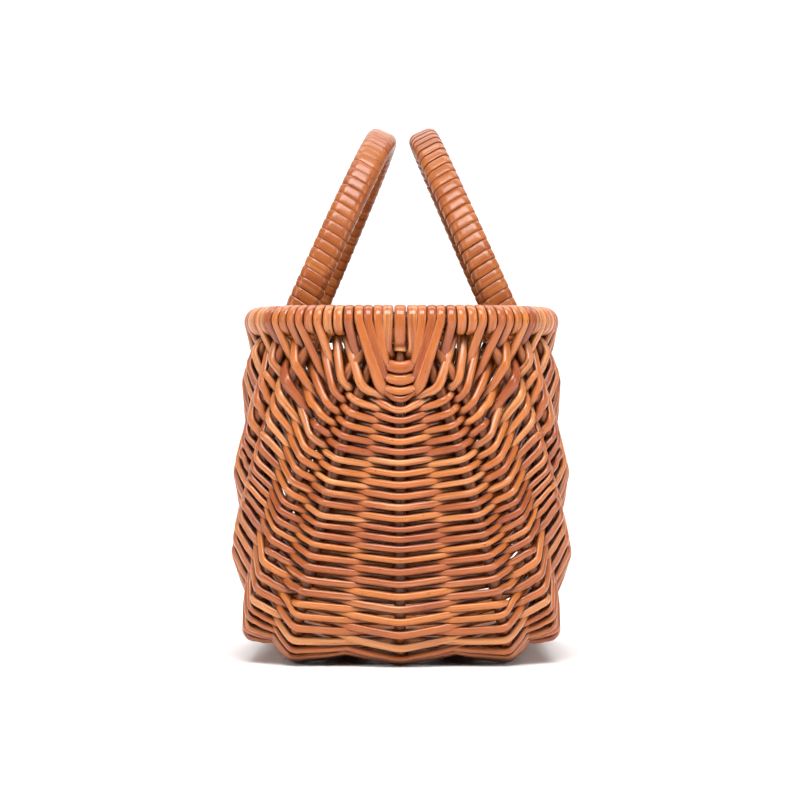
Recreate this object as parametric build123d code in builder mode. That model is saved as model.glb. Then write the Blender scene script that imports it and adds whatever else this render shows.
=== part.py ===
"""Frame-woven willow basket bag: rim hoop, ribs, weave, rim wrap and two leaning handles.

All sizes are millimetres.  +Z is up and the basket stands on Z = 0.  The length runs along Y,
the two handles lean towards each other over the open mouth, across X.  The "rib line" is the
surface through the middle of the ribs; weavers pass outside it and inside it in turn.
"""
from build123d import *
from math import atan, atan2, ceil, cos, pi, radians, sin, sqrt, tan
import os

os.makedirs("parts", exist_ok=True)

# ---- rim -----------------------------------------------------------------------------------
rim_half_width = 81.0        # centre line of the rim hoop
rim_half_length = 126.0
rim_height = 192.2           # centre line of the rim hoop above the floor
rim_corner = 60.0            # corner radius of the rim seen from above
hoop_radius = 4.7            # bare hoop rod
rim_wrap_thickness = 3.9     # weavers turned round the hoop
fit = 0.2                    # gap left round every rod that lies in something

# ---- body, measured to the rib line --------------------------------------------------------
belly_height = 63.0
belly_half_width = 90.5
belly_half_length = 130.0
belly_corner = 58.0
floor_half_width = 60.0
floor_half_length = 109.0
floor_corner = 32.0
bottom_fullness = 3.3        # 2 is a round bottom edge, more is a squarer one
weave_out = 7.5              # weave outside the rib line, which is also the floor rib's height
weave_in = 2.5               # weave inside the rib line, so that the ribs show inside
seat_gap = 0.3               # weave below the rim wrap, ties beside the rim wrap

# ---- ribs ----------------------------------------------------------------------------------
rib_radius = 3.3
rib_tip_radius = 1.2         # shaved end of a rib
rib_taper = 11.0             # length of the shaved end, within the first straight run
rib_run = 30.0               # longest run before a rib is bent again
bend_share = 0.45            # share of a run that a bend takes at each of its ends
straight_turn = 0.004        # radians, a turn too small to bend
rib_rise = (0.0, 0.05, 0.29, 0.535, 0.82)      # share of the wall's height, ribs 1 to 5
rib_start = (0.0, 0.0, 0.60, 0.80, 0.95)       # where each leaves the rim, share of its half width
rib_bow = (1.7, 1.8, 3.0, 2.0, 2.0)            # power of each rib's fall, more stays out longer
ear_drop = 3.0               # the ribs gather this far below the rim wrap
tip_gap = 0.8                # between the rib tips side by side in the gathered ear

# ---- ear bindings --------------------------------------------------------------------------
ear_width = 6.2
ear_extra = 0.5              # the binding strip stands this far proud of the rim wrap

# ---- handles -------------------------------------------------------------------------------
handle_half_span = 75.0      # along the basket, to the middle of a leg
handle_top = 308.0           # top of the wrapped handle above the floor
handle_gap = 7.5             # between the two handles where they nearly meet
handle_width = 17.5          # wrapped section, across the handle's own plane
handle_depth = 10.2          # wrapped section, in the handle's own plane
handle_crown = 55.0          # radius of the arch's top
handle_rod_radius = 3.35
handle_rod_gap = 0.2
leg_below_rim = 24.0         # rods run on inside the wall, below the hoop's centre line
tie_length = 14.0            # binding of each leg below the rim
wrap_start = 1.0             # the handle's wrapping starts this far above the tie

rim_radius = hoop_radius + fit + rim_wrap_thickness
floor_line = weave_out
weave_top = rim_height - rim_radius - ear_extra - seat_gap
ear_height = rim_height - rim_radius - ear_drop
tip_spacing = 2 * rib_radius + tip_gap


# ---- shape of the body ---------------------------------------------------------------------
def between(low, high, share):
    return low + (high - low) * share


def wall_share(height):
    """0 at the rim's centre line, 1 at the belly."""
    return (rim_height - height) / (rim_height - belly_height)


def tuck(height, out):
    """1 at the belly, 0 where the bottom becomes flat, for a skin `out` beyond the rib line."""
    lowest = floor_line - out
    share = min(1.0, max(0.0, (belly_height - height) / (belly_height - lowest)))
    return (1.0 - share ** bottom_fullness) ** (1.0 / bottom_fullness)


def plan_size(height, out=0.0):
    """Half width, half length and corner radius of the body at one height."""
    if height >= belly_height:
        swell = sin(pi / 2 * min(1.0, wall_share(height)))
        half_width = between(rim_half_width, belly_half_width, swell) + out
        half_length = between(rim_half_length, belly_half_length, swell) + out
        corner = between(rim_corner, belly_corner, swell) + out
    else:
        swell = tuck(height, out)
        half_width = between(floor_half_width, belly_half_width + out, swell)
        half_length = between(floor_half_length, belly_half_length + out, swell)
        corner = between(floor_corner, belly_corner + out, swell)
    return half_width, half_length, corner


def end_depth(x, height):
    """How far the rib line reaches along Y at one place on an end."""
    half_width, half_length, corner = plan_size(height)
    beside = max(0.0, abs(x) - (half_width - corner))
    beside = min(beside, corner)
    return half_length - corner + sqrt(corner ** 2 - beside ** 2)


def body_solid(out):
    """Closed solid up to weave_top, `out` beyond the rib line."""
    lowest = floor_line - out
    bowl_steps = (0.0, 0.03, 0.11, 0.26, 0.5, 1.0)
    wall_steps = (0.36, 0.7, 1.0)
    heights = [between(lowest, belly_height, share) for share in bowl_steps]
    heights += [between(belly_height, weave_top, share) for share in wall_steps]
    with BuildPart() as skin:
        for height in heights:
            with BuildSketch(Plane.XY.offset(height)):
                half_width, half_length, corner = plan_size(height, out)
                RectangleRounded(2 * half_width, 2 * half_length, corner)
        loft(ruled=True)
    return skin.part


# ---- rods bent along tangent arcs ----------------------------------------------------------
def bent_path(points):
    """Straight runs joined by tangent arcs, each as large as the runs beside it allow."""
    place = points[0]
    with BuildLine() as path:
        for before, here, after in zip(points, points[1:], points[2:]):
            arrive = (here - before).normalized()
            leave = (after - here).normalized()
            reach = bend_share * min((here - before).length, (after - here).length)
            turn = radians(arrive.get_angle(leave))
            if turn < straight_turn:
                continue
            arc_start = here - arrive * reach
            arc_end = here + leave * reach
            inward = (leave - arrive).normalized()
            sagitta = reach * (1 / cos(turn / 2) - 1) / tan(turn / 2)
            Line(place, arc_start)
            ThreePointArc(arc_start, here + inward * sagitta, arc_end)
            place = arc_end
        Line(place, points[-1])
    return path.wires()[0]


def even_points(line, count):
    """Points at even spacing along a list of close points."""
    lengths = [0.0]
    for here, after in zip(line, line[1:]):
        lengths.append(lengths[-1] + (after - here).length)
    points = []
    for number in range(count + 1):
        target = lengths[-1] * number / count
        place = max(index for index, length in enumerate(lengths) if length <= target + 1e-9)
        place = min(place, len(line) - 2)
        share = (target - lengths[place]) / (lengths[place + 1] - lengths[place])
        points.append(line[place] + (line[place + 1] - line[place]) * share)
    return points


def rod(points, radius, tip_radius, taper):
    """A round rod along tangent arcs, shaved to a blunt tip at both ends."""
    path = bent_path(points)
    with BuildPart() as piece:
        with BuildSketch(Plane(origin=path @ 0, z_dir=path % 0)):
            Circle(radius)
        sweep(path=path)
        for tip in (path @ 0, path @ 1):
            end_face = piece.faces().sort_by_distance(tip)[0]
            chamfer(end_face.edges(), length=radius - tip_radius, length2=taper, reference=end_face)
    return piece.part


# ---- rib lines -----------------------------------------------------------------------------
def keel_line():
    """The middle rib: down one end, along the floor and up the other end."""
    end = []
    for step in range(60):
        height = between(ear_height, belly_height, step / 60)
        end.append(Vector(0, -plan_size(height)[1], height))
    for step in range(61):
        angle = pi / 2 * step / 60
        height = belly_height - (belly_height - floor_line) * sin(angle) ** (2 / bottom_fullness)
        depth = between(floor_half_length, belly_half_length, cos(angle) ** (2 / bottom_fullness))
        end.append(Vector(0, -depth, height))
    return end + [Vector(0, -point.Y, point.Z) for point in reversed(end)]


def side_rib_line(number, side):
    """A rib that leaves the ear or the rim, falls as a power curve and runs along the side."""
    rise = rib_rise[number - 1]
    bow = rib_bow[number - 1]
    height = between(floor_line, rim_height, rise)
    reach = plan_size(height)[0]
    start = rib_start[number - 1] * rim_half_width
    start = max(start, number * tip_spacing)
    fall = (ear_height - height) / (reach ** bow - start ** bow)
    end = []
    for step in range(121):
        x = reach - (reach - start) * (1 - step / 120) ** 2
        z = ear_height - fall * (x ** bow - start ** bow)
        end.append(Vector(side * x, -end_depth(x, z), z))
    return end + [Vector(point.X, -point.Y, point.Z) for point in reversed(end)]


def rib_points(line):
    length = sum((after - here).length for here, after in zip(line, line[1:]))
    return even_points(line, ceil(length / rib_run))


ribs = {"keel_rib": rib_points(keel_line())}
for side_name, side in (("left", -1), ("right", 1)):
    for number in range(1, len(rib_rise) + 1):
        ribs[f"rib_{side_name}_{number}"] = rib_points(side_rib_line(number, side))

rib_channels = []
for name, points in ribs.items():
    rib = rod(points, rib_radius, rib_tip_radius, rib_taper)
    rib.label = name
    export_step(rib, f"parts/{name}.step")
    rib_channels.append(rod(points, rib_radius + fit, rib_tip_radius + fit, rib_taper))

# ---- weave: one woven shell, in three lengths ----------------------------------------------
woven = body_solid(weave_out).cut(body_solid(-weave_in))
woven = woven.cut(*rib_channels)
end_start = rim_half_length - rim_corner
front_cut = Plane.XZ.offset(end_start)
back_cut = Plane.XZ.offset(-end_start)
spans = {
    "weave_front": ((front_cut, Keep.TOP),),
    "weave_middle": ((front_cut, Keep.BOTTOM), (back_cut, Keep.TOP)),
    "weave_back": ((back_cut, Keep.BOTTOM),),
}
for name, cuts in spans.items():
    with BuildPart() as weave:
        add(woven)
        for plane, kept in cuts:
            split(bisect_by=plane, keep=kept)
    weave.part.label = name
    export_step(weave.part, f"parts/{name}.step")

# ---- rim hoop ------------------------------------------------------------------------------
with BuildPart() as rim_hoop:
    with BuildLine(Plane.XY.offset(rim_height)) as hoop_line:
        flat = rim_half_width - rim_corner
        Line((0, -rim_half_length), (flat, -rim_half_length))
        RadiusArc((flat, -rim_half_length), (rim_half_width, -end_start), -rim_corner)
        Line((rim_half_width, -end_start), (rim_half_width, end_start))
        RadiusArc((rim_half_width, end_start), (flat, rim_half_length), -rim_corner)
        Line((flat, rim_half_length), (0, rim_half_length))
        mirror(about=Plane.YZ)
    with BuildSketch(Plane(origin=(0, -rim_half_length, rim_height), z_dir=(1, 0, 0))):
        Circle(hoop_radius)
    sweep(path=hoop_line.wires()[0])
rim_hoop.part.label = "rim_hoop"
export_step(rim_hoop.part, "parts/rim_hoop.step")

# ---- rim wrap, a quarter of the rim to each piece -------------------------------------------
with BuildPart() as rim_wrap:
    with BuildLine(Plane.XY.offset(rim_height)) as quarter_line:
        Line((ear_width / 2, -rim_half_length), (flat, -rim_half_length))
        RadiusArc((flat, -rim_half_length), (rim_half_width, -end_start), -rim_corner)
        Line((rim_half_width, -end_start), (rim_half_width, 0))
    with BuildSketch(Plane(origin=quarter_line.wires()[0] @ 0, z_dir=(1, 0, 0))):
        Circle(rim_radius)
        Circle(hoop_radius + fit, mode=Mode.SUBTRACT)
    sweep(path=quarter_line.wires()[0])
back_right = rim_wrap.part.mirror(Plane.XZ)
quarters = {
    "rim_wrap_front_right": rim_wrap.part,
    "rim_wrap_back_right": back_right,
    "rim_wrap_front_left": rim_wrap.part.mirror(Plane.YZ),
    "rim_wrap_back_left": back_right.mirror(Plane.YZ),
}
for name, quarter in quarters.items():
    quarter.label = name
    export_step(quarter, f"parts/{name}.step")

# ---- ear bindings, over the rim where the ribs gather --------------------------------------
for name, end in (("ear_binding_front", -1), ("ear_binding_back", 1)):
    with BuildPart() as ear_binding:
        with BuildSketch(Plane(origin=(0, end * rim_half_length, rim_height), z_dir=(1, 0, 0))):
            Circle(rim_radius + ear_extra)
            Circle(hoop_radius + fit, mode=Mode.SUBTRACT)
        extrude(amount=ear_width / 2, both=True)
    ear_binding.part.label = name
    export_step(ear_binding.part, f"parts/{name}.step")

# ---- handles -------------------------------------------------------------------------------
beside = max(0.0, handle_half_span - end_start)
section_flat = (handle_width - handle_depth) / 2
lean = 0.4
for _ in range(8):
    apex_x = handle_gap / 2 + section_flat * cos(lean) + handle_depth / 2
    apex_z = handle_top - section_flat * sin(lean) - handle_depth / 2
    axis_reach = rim_corner - (rim_radius + seat_gap + handle_depth / 2) / cos(lean)
    leg_x = flat + sqrt(axis_reach ** 2 - beside ** 2) - section_flat / cos(lean)
    lean = atan((leg_x - apex_x) / (apex_z - rim_height))
arch_rise = (apex_z - rim_height) / cos(lean)
print("handle lean", round(lean * 180 / pi, 1), "degrees, legs at", round(leg_x, 1), "mm")

crown_drop = arch_rise - handle_crown
shoulder = (handle_half_span ** 2 + crown_drop ** 2 - handle_crown ** 2)
shoulder = shoulder / (2 * (handle_half_span - handle_crown))
shoulder_turn = atan2(crown_drop, shoulder - handle_half_span)
shoulder_x = shoulder - handle_half_span


def on_shoulder(turn):
    """A point of the arch's side arc, `turn` above the leg's top."""
    return shoulder_x - shoulder * cos(turn), shoulder * sin(turn)


tie_bottom = -leg_below_rim + handle_depth / 2
tie_top = tie_bottom + tie_length
wrap_foot = tie_top + wrap_start


def handle_plane(side):
    """Origin between the legs at the hoop's height, X along the basket, Y up the handle."""
    up = Vector(-side * sin(lean), 0, cos(lean))
    along = Vector(0, 1, 0)
    return Plane(origin=(side * leg_x, 0, rim_height), x_dir=along, z_dir=along.cross(up))


def arch_path(plane, foot):
    """One leg up, the arch in three tangent arcs, and the other leg down."""
    middle_x, middle_y = on_shoulder(shoulder_turn / 2)
    join_x, join_y = on_shoulder(shoulder_turn)
    with BuildLine(plane) as path:
        Line((-handle_half_span, foot), (-handle_half_span, 0))
        ThreePointArc((-handle_half_span, 0), (middle_x, middle_y), (join_x, join_y))
        ThreePointArc((join_x, join_y), (0, arch_rise), (-join_x, join_y))
        ThreePointArc((-join_x, join_y), (-middle_x, middle_y), (handle_half_span, 0))
        Line((handle_half_span, 0), (handle_half_span, foot))
    return path.wires()[0]


def leg_section(plane, along, height):
    """Across one leg, its local X across the handle's plane."""
    origin = plane.from_local_coords((along, height))
    return Plane(origin=origin, x_dir=plane.z_dir, z_dir=plane.y_dir)


rod_pitch = 2 * handle_rod_radius + handle_rod_gap
slot_width = rod_pitch + 2 * (handle_rod_radius + fit)
slot_depth = 2 * (handle_rod_radius + fit)

for side_name, side in (("left", -1), ("right", 1)):
    plane = handle_plane(side)
    rod_path = arch_path(plane, -leg_below_rim)
    for rod_name, rod_side in (("outer", side), ("inner", -side)):
        across = rod_side * rod_pitch / 2
        across = across if plane.z_dir.X > 0 else -across
        with BuildPart() as handle_rod:
            foot = leg_section(plane, -handle_half_span, -leg_below_rim)
            with BuildSketch(foot):
                with Locations((across, 0)):
                    Circle(handle_rod_radius)
            sweep(path=rod_path)
        handle_rod.part.label = f"handle_{side_name}_rod_{rod_name}"
        export_step(handle_rod.part, f"parts/handle_{side_name}_rod_{rod_name}.step")

    with BuildPart() as handle_wrap:
        with BuildSketch(leg_section(plane, -handle_half_span, wrap_foot)):
            SlotOverall(handle_width, handle_depth)
            SlotOverall(slot_width, slot_depth, mode=Mode.SUBTRACT)
        sweep(path=arch_path(plane, wrap_foot))
    handle_wrap.part.label = f"handle_{side_name}_wrap"
    export_step(handle_wrap.part, f"parts/handle_{side_name}_wrap.step")

    for end_name, end in (("front", -1), ("back", 1)):
        with BuildPart() as handle_tie:
            with BuildSketch(leg_section(plane, end * handle_half_span, tie_bottom)):
                SlotOverall(handle_width, handle_depth)
                SlotOverall(slot_width, slot_depth, mode=Mode.SUBTRACT)
            extrude(amount=tie_length)
        handle_tie.part.label = f"handle_{side_name}_tie_{end_name}"
        export_step(handle_tie.part, f"parts/handle_{side_name}_tie_{end_name}.step")
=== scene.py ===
# %% [markdown]
# # A frame-woven willow basket bag
# The basket is a hoop for the rim, eleven ribs that hang from it, and about two hundred thin
# willow weavers laid over and under the ribs.  Two wrapped handles lean together over the mouth.
# The packed CAD model gives the hoop, the rods and the true outer size.  Everything woven is
# made here, strand by strand, because light only falls into a weave that really has two sides.

# %% Load the frame
import bpy
import numpy as np
from math import atan, atan2, cos, pi, radians, sin, sqrt
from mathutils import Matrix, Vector


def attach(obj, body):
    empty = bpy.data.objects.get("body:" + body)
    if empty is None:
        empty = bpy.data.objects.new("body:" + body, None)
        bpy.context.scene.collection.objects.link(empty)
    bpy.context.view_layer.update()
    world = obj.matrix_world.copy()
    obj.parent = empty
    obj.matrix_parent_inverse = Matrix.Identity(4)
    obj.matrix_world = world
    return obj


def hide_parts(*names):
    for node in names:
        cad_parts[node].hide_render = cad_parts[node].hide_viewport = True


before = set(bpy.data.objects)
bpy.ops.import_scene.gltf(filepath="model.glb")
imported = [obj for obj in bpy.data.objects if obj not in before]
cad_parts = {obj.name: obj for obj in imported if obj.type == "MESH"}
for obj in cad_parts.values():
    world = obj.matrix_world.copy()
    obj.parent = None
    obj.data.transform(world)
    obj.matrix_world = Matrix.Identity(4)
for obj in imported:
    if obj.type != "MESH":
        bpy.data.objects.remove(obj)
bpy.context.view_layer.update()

# %% [markdown]
# ## Sizes
# The driving sizes are the same as in the CAD model, so the strands lie where the solids are.
# They are written in millimetres and turned into metres by one factor, which keeps them readable.
# Here are those that several pieces share; each piece's own sizes come with the piece.

# %% Sizes of the body, the rim and the ribs
mm = 0.001
rim_half_width = 81.0 * mm
rim_half_length = 126.0 * mm
rim_height = 192.2 * mm
rim_corner = 60.0 * mm
hoop_radius = 4.7 * mm
rim_wrap_thickness = 3.9 * mm
fit = 0.2 * mm
rim_radius = hoop_radius + fit + rim_wrap_thickness

belly_height = 63.0 * mm
belly_half_width = 90.5 * mm
belly_half_length = 130.0 * mm
belly_corner = 58.0 * mm
floor_line = 7.5 * mm
floor_half_width = 60.0 * mm
floor_half_length = 109.0 * mm
floor_corner = 32.0 * mm
bottom_fullness = 3.3

rib_radius = 3.3 * mm
rib_rise = (0.0, 0.05, 0.29, 0.535, 0.82)
rib_start = (0.0, 0.0, 0.60, 0.80, 0.95)
rib_bow = (1.7, 1.8, 3.0, 2.0, 2.0)
ear_drop = 3.0 * mm
ear_height = rim_height - rim_radius - ear_drop
tip_gap = 0.8 * mm
tip_spacing = 2 * rib_radius + tip_gap

chance = np.random.default_rng(11)
print("rim outside radius", round(rim_radius / mm, 2), "mm")

# %% [markdown]
# ## The wall
# Seen from above, the body is a rectangle with round corners at every height.  Three sizes of
# that rectangle are known: at the rim, at the belly and at the floor.  A quarter sine wave joins
# the first two and a full, nearly square curve joins the last two, as a bent willow rib does.

# %% Shape of the wall
def between(low, high, share):
    return low + (high - low) * share


def plan_size(height):
    """Half width, half length and corner radius of the rib line at one height."""
    if height >= belly_height:
        share = min(1.0, max(0.0, (rim_height - height) / (rim_height - belly_height)))
        swell = sin(pi / 2 * share)
        top = (rim_half_width, rim_half_length, rim_corner)
        belly = (belly_half_width, belly_half_length, belly_corner)
        return tuple(between(a, b, swell) for a, b in zip(top, belly))
    share = min(1.0, max(0.0, (belly_height - height) / (belly_height - floor_line)))
    swell = (1.0 - share ** bottom_fullness) ** (1.0 / bottom_fullness)
    low = (floor_half_width, floor_half_length, floor_corner)
    belly = (belly_half_width, belly_half_length, belly_corner)
    return tuple(between(a, b, swell) for a, b in zip(low, belly))


def end_depth(x, height):
    """How far the rib line reaches along Y at one place on an end."""
    half_width, half_length, corner = plan_size(height)
    beside = min(corner, max(0.0, abs(x) - (half_width - corner)))
    return half_length - corner + sqrt(corner ** 2 - beside ** 2)


rim_flat = rim_half_width - rim_corner
rim_bend = rim_corner * pi / 2
rim_quarter = rim_flat + rim_bend + (rim_half_length - rim_corner)


def rim_spot(arc):
    """Place on the hoop's centre line and the way out of the basket there, near right quarter."""
    if arc <= rim_flat:
        return np.array([arc, -rim_half_length, rim_height]), np.array([0.0, -1.0, 0.0])
    if arc <= rim_flat + rim_bend:
        turn = (arc - rim_flat) / rim_corner
        out = np.array([sin(turn), -cos(turn), 0.0])
        middle = np.array([rim_flat, -(rim_half_length - rim_corner), rim_height])
        return middle + rim_corner * out, out
    along = arc - rim_flat - rim_bend
    place = np.array([rim_half_width, -(rim_half_length - rim_corner) + along, rim_height])
    return place, np.array([1.0, 0.0, 0.0])


print("a quarter of the rim is", round(rim_quarter / mm, 1), "mm long")

# %% [markdown]
# ## Rib lines
# The middle rib runs down one end, along the floor and up the other end.  The side ribs leave the
# ear or the rim, fall in a curve and run along the side.  Each line is kept as many close points
# of the near half, with the length walked so far, so that any place on it can be looked up.

# %% Rib lines of the near half
line_points = 80
look_ahead = 1.0 * mm


def walked(points):
    """Length walked along a line up to each of its points."""
    steps = np.linalg.norm(np.diff(points, axis=0), axis=1)
    return np.concatenate([[0.0], np.cumsum(steps)])


def at(lengths, line, walk):
    """Places on a line, the given lengths along it."""
    return np.stack([np.interp(lengths, walk, part) for part in line.T], axis=-1)


def keel_line():
    """The middle rib: down the end and round under it to the middle of the floor."""
    points = []
    for share in np.linspace(0, 1, line_points, endpoint=False):
        height = between(ear_height, belly_height, share)
        points.append((0, -plan_size(height)[1], height))
    for angle in np.linspace(0, pi / 2, line_points):
        drop = sin(angle) ** (2 / bottom_fullness)
        height = belly_height - (belly_height - floor_line) * drop
        swell = cos(angle) ** (2 / bottom_fullness)
        points.append((0, -between(floor_half_length, belly_half_length, swell), height))
    points.append((0, 0, floor_line))
    return np.array(points)


def side_rib_line(number):
    """One of the ribs on the right: out from the ear, round the corner and along the side."""
    height = between(floor_line, rim_height, rib_rise[number - 1])
    reach = plan_size(height)[0]
    start = max(rib_start[number - 1] * rim_half_width, number * tip_spacing)
    bow = rib_bow[number - 1]
    fall = (ear_height - height) / (reach ** bow - start ** bow)
    points = []
    for share in np.linspace(0, 1, 2 * line_points):
        x = reach - (reach - start) * (1 - share) ** 2
        z = ear_height - fall * (x ** bow - start ** bow)
        points.append((x, -end_depth(x, z), z))
    points.append((reach, 0, height))
    return np.array(points)


rib_lines = [keel_line()] + [side_rib_line(number) for number in range(1, 6)]
rib_walks = [walked(line) for line in rib_lines]
print("half rib lengths, mm:", [round(walk[-1] / mm) for walk in rib_walks])


def on_rib(number, length):
    """Place and direction of a rib, `length` along it from the ear."""
    line, walk = rib_lines[number], rib_walks[number]
    along = at(length + look_ahead, line, walk) - at(length - look_ahead, line, walk)
    return at(length, line, walk), along / np.linalg.norm(along)

# %% [markdown]
# ## Where a row crosses each rib
# Near the ear the rows are rings round it, measured over the wall laid flat.  The rim takes a
# wrap every 5 mm but the maker beats the rows closer than that below it, so each row runs in
# towards the ear as it leaves the rim.  Further on the rows have to arrive at the middle of the
# basket together, so what is left of each rib is shared out evenly, up to the seam where the
# weave from the other end begins.  One number, the level, is the row's place on the rim, from 0
# at the ear, and gives its crossing on every rib.

# %% Levels
ring_zone = 122.0 * mm
squeeze = 13.0 * mm
squeeze_zone = (25 * mm, 70 * mm)
squeeze_angle = radians(20)
settling_rounds = 30
last_wrap = rim_quarter - 2.6 * mm
half_seam = 1.8 * mm
keel_push, push_start, push_reach = 17 * mm, 12 * mm, 27 * mm


def rim_arc_beside(point):
    """Where on the rim a point of the wall would be if it slid straight up."""
    half_width, half_length, corner = plan_size(point[2])
    beside, behind = point[0] - (half_width - corner), -point[1] - (half_length - corner)
    if behind < 0:
        return rim_flat + rim_bend - behind
    if beside < 0:
        return point[0] * rim_flat / (half_width - corner)
    return rim_flat + rim_corner * atan2(beside, behind)


def run_in(level):
    """How much nearer to the ear a row is below the rim than at the rim."""
    share = np.clip((level - squeeze_zone[0]) / (squeeze_zone[1] - squeeze_zone[0]), 0, 1)
    return squeeze * share * share * (3 - 2 * share)


def rib_levels(number):
    """The level at every point of a rib."""
    line, walk = rib_lines[number], rib_walks[number]
    arcs = np.array([rim_arc_beside(p) for p in line]) if number else np.zeros(len(line))
    drops = ear_height - line[:, 2] if number else walk
    ring = np.maximum.accumulate(np.hypot(arcs, drops))
    below_rim = np.minimum(1.0, np.arctan2(drops, arcs) / squeeze_angle)
    level = ring.copy()
    for _ in range(settling_rounds):
        level = ring + run_in(level) * below_rim
    level = np.maximum.accumulate(level)
    ring_end = np.interp(ring_zone, level, walk)
    rest = (walk - ring_end) / (walk[-1] - half_seam - ring_end)
    even = ring_zone + (last_wrap - ring_zone) * rest
    return np.where(walk > ring_end, even, level)


level_tables = [rib_levels(number) for number in range(6)]
tip_level = [table[0] for table in level_tables]
print("levels of the rib tips, mm:", [round(level / mm) for level in tip_level])


def crossing(number, level):
    """Length along a rib at one level; the wide strands of the ear push the rows down rib 0."""
    pushed = 0.0
    if number == 0:
        begun = 1 - np.exp(-(level / push_start) ** 2)
        pushed = keel_push * begun * np.exp(-level / push_reach)
    return float(np.interp(level, level_tables[number], rib_walks[number]) + pushed)

# %% [markdown]
# ## The order of the rows
# A full row is turned once round the rim at both ends, so the rim sets the number of full rows.
# The ribs in the middle are much longer than the rim, and the maker fills them with short rows:
# the weaver turns back round a rib and returns.  A row is kept as a small object with its
# crossings, because it can only be laid once all its neighbours are known.

# %% One row
first_wrap = 7.0 * mm
tip_margin = (0.0, 2 * mm, 20 * mm, 6 * mm, 4 * mm, 4 * mm)


class Row:
    """One strand: the rib it turns round, its level, and its crossing on every rib it passes."""

    def __init__(self, turn, level, crossings):
        self.turn, self.level, self.crossings = turn, level, crossings
        self.pitch, self.slides = {}, {}


def reached(number, level):
    """Whether a row at this level is past the rib's tip."""
    return number == 0 or level > tip_level[number] + tip_margin[number]


def full_row(level):
    return Row(None, level, {n: crossing(n, level) for n in range(6) if reached(n, level)})


def short_rows(level, after, turns):
    """Two strands for every turn in the list, spread between two full rows."""
    rows, shorts = [], [turn for turn in turns for _ in range(2)]
    for index, turn in enumerate(shorts):
        crossings = {}
        for n in range(turn + 1):
            here = sum(1 for t in shorts[:index] if t >= n)
            total = sum(1 for t in shorts if t >= n)
            share = (here + 1) / (total + 1)
            crossings[n] = between(crossing(n, level), crossing(n, after), share)
        rows.append(Row(turn, level, crossings))
    return rows


print("ribs crossed by the first full row:", list(full_row(first_wrap).crossings))

# %% [markdown]
# ## How many short rows
# Going from full row to full row, each rib counts how many more strands it has room for, and a
# short pair is laid when enough ribs need it.  A fixed pattern would be simpler, but it would
# crowd the ends of the basket or leave holes in its middle.

# %% Plan the rows of one half
ear_rows = 3
first_short = 60.0 * mm
pitch_change = 120.0 * mm
room_for_pair, room_wanted, most_crowded = 1.2, 0.8, -1.2
pitch_near = (2.8, 2.9, 3.5, 4.1, 4.4, 4.4)
pitch_far = (3.1, 3.1, 3.3, 3.6, 4.0, 4.1)


def wanted_pitch(number, level):
    """Distance between strands that the maker beats the weave to, on each rib."""
    return between(pitch_near[number], pitch_far[number], min(1.0, level / pitch_change)) * mm


def wants_pair(number, owed):
    """Whether a short pair may turn at this rib without crowding the ribs before it."""
    return owed[number] > room_wanted and owed[: number + 1].min() > most_crowded


def plan_rows(row_count, first_owed):
    """Strands in order, from the ear to the middle of the basket."""
    rows, owed = [], np.full(6, first_owed)
    levels = np.linspace(first_wrap, last_wrap, row_count)
    for place, (level, after) in enumerate(zip(levels, levels[1:])):
        rows.append(full_row(level))
        if place < ear_rows:
            middle = between(crossing(0, level), crossing(0, after), 0.5)
            rows.append(Row("ear", level, {0: middle}))
            continue
        crossed = [n for n in range(6) if reached(n, level)]
        for n in crossed:
            gap = crossing(n, after) - crossing(n, level)
            owed[n] += gap / wanted_pitch(n, level) - 1
        turns = []
        while owed[0] > room_for_pair and level > first_short:
            wanting = [n for n in crossed if n > 1 and wants_pair(n, owed)]
            turn = max(wanting, default=2 if owed[2] > 0.0 else 1)
            owed[: turn + 1] -= 2
            turns.append(turn)
        rows += short_rows(level, after, turns)
    rows.append(full_row(levels[-1]))
    return rows


print("short rows begin", round(first_short / mm), "mm along the rim")

# %% [markdown]
# ## Closing the rows up
# Last, the strands slide along the ribs and between them until they close up, as they do when
# they are beaten down, so that a turn leaves no large gap beside it.  The far half begins with a
# little more room, so that the two halves don't look the same.

# %% Close the rows up
span_shares = (0.34, 0.66)


def smoothed(places, reach=2.0):
    """A rising list of places with its spacing made to change only slowly."""
    spread = np.arange(-6, 7)
    weight = np.exp(-0.5 * (spread / reach) ** 2)
    before = 2 * places[0] - places[6:0:-1]
    after = 2 * places[-1] - places[-2:-8:-1]
    return np.convolve(np.concatenate([before, places, after]), weight / weight.sum(), "valid")


def even_out(rows):
    """Slides the strands along each rib, and between ribs, so that they close up to each other."""
    for number in range(6):
        members = [row for row in rows if number in row.crossings]
        smooth = smoothed(np.array([row.crossings[number] for row in members]))
        for row, place, pitch in zip(members, smooth, np.gradient(smooth)):
            row.crossings[number], row.pitch[number] = float(place), float(pitch)
    for number in range(6):
        on_to_rim = [row for row in rows if row.turn is None and number in row.crossings]
        members = [row for row in rows if number + 1 in row.crossings] or on_to_rim
        here = np.array([row.crossings[number] for row in members])
        beyond = np.array([row.crossings.get(number + 1, row.level) for row in members])
        for share in span_shares:
            places = between(here, beyond, share)
            for row, slide in zip(members, smoothed(places) - places):
                row.slides.setdefault(number, []).append((share, float(slide)))
    return rows


plans = {"front": even_out(plan_rows(34, 0.0)), "back": even_out(plan_rows(35, 0.9))}
for half, plan in plans.items():
    kinds = [row.turn for row in plan]
    shorts = len(kinds) - kinds.count(None) - kinds.count("ear")
    full, ear = kinds.count(None), kinds.count("ear")
    print(half, full, "full rows,", ear, "in the ear,", shorts, "short")

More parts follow.
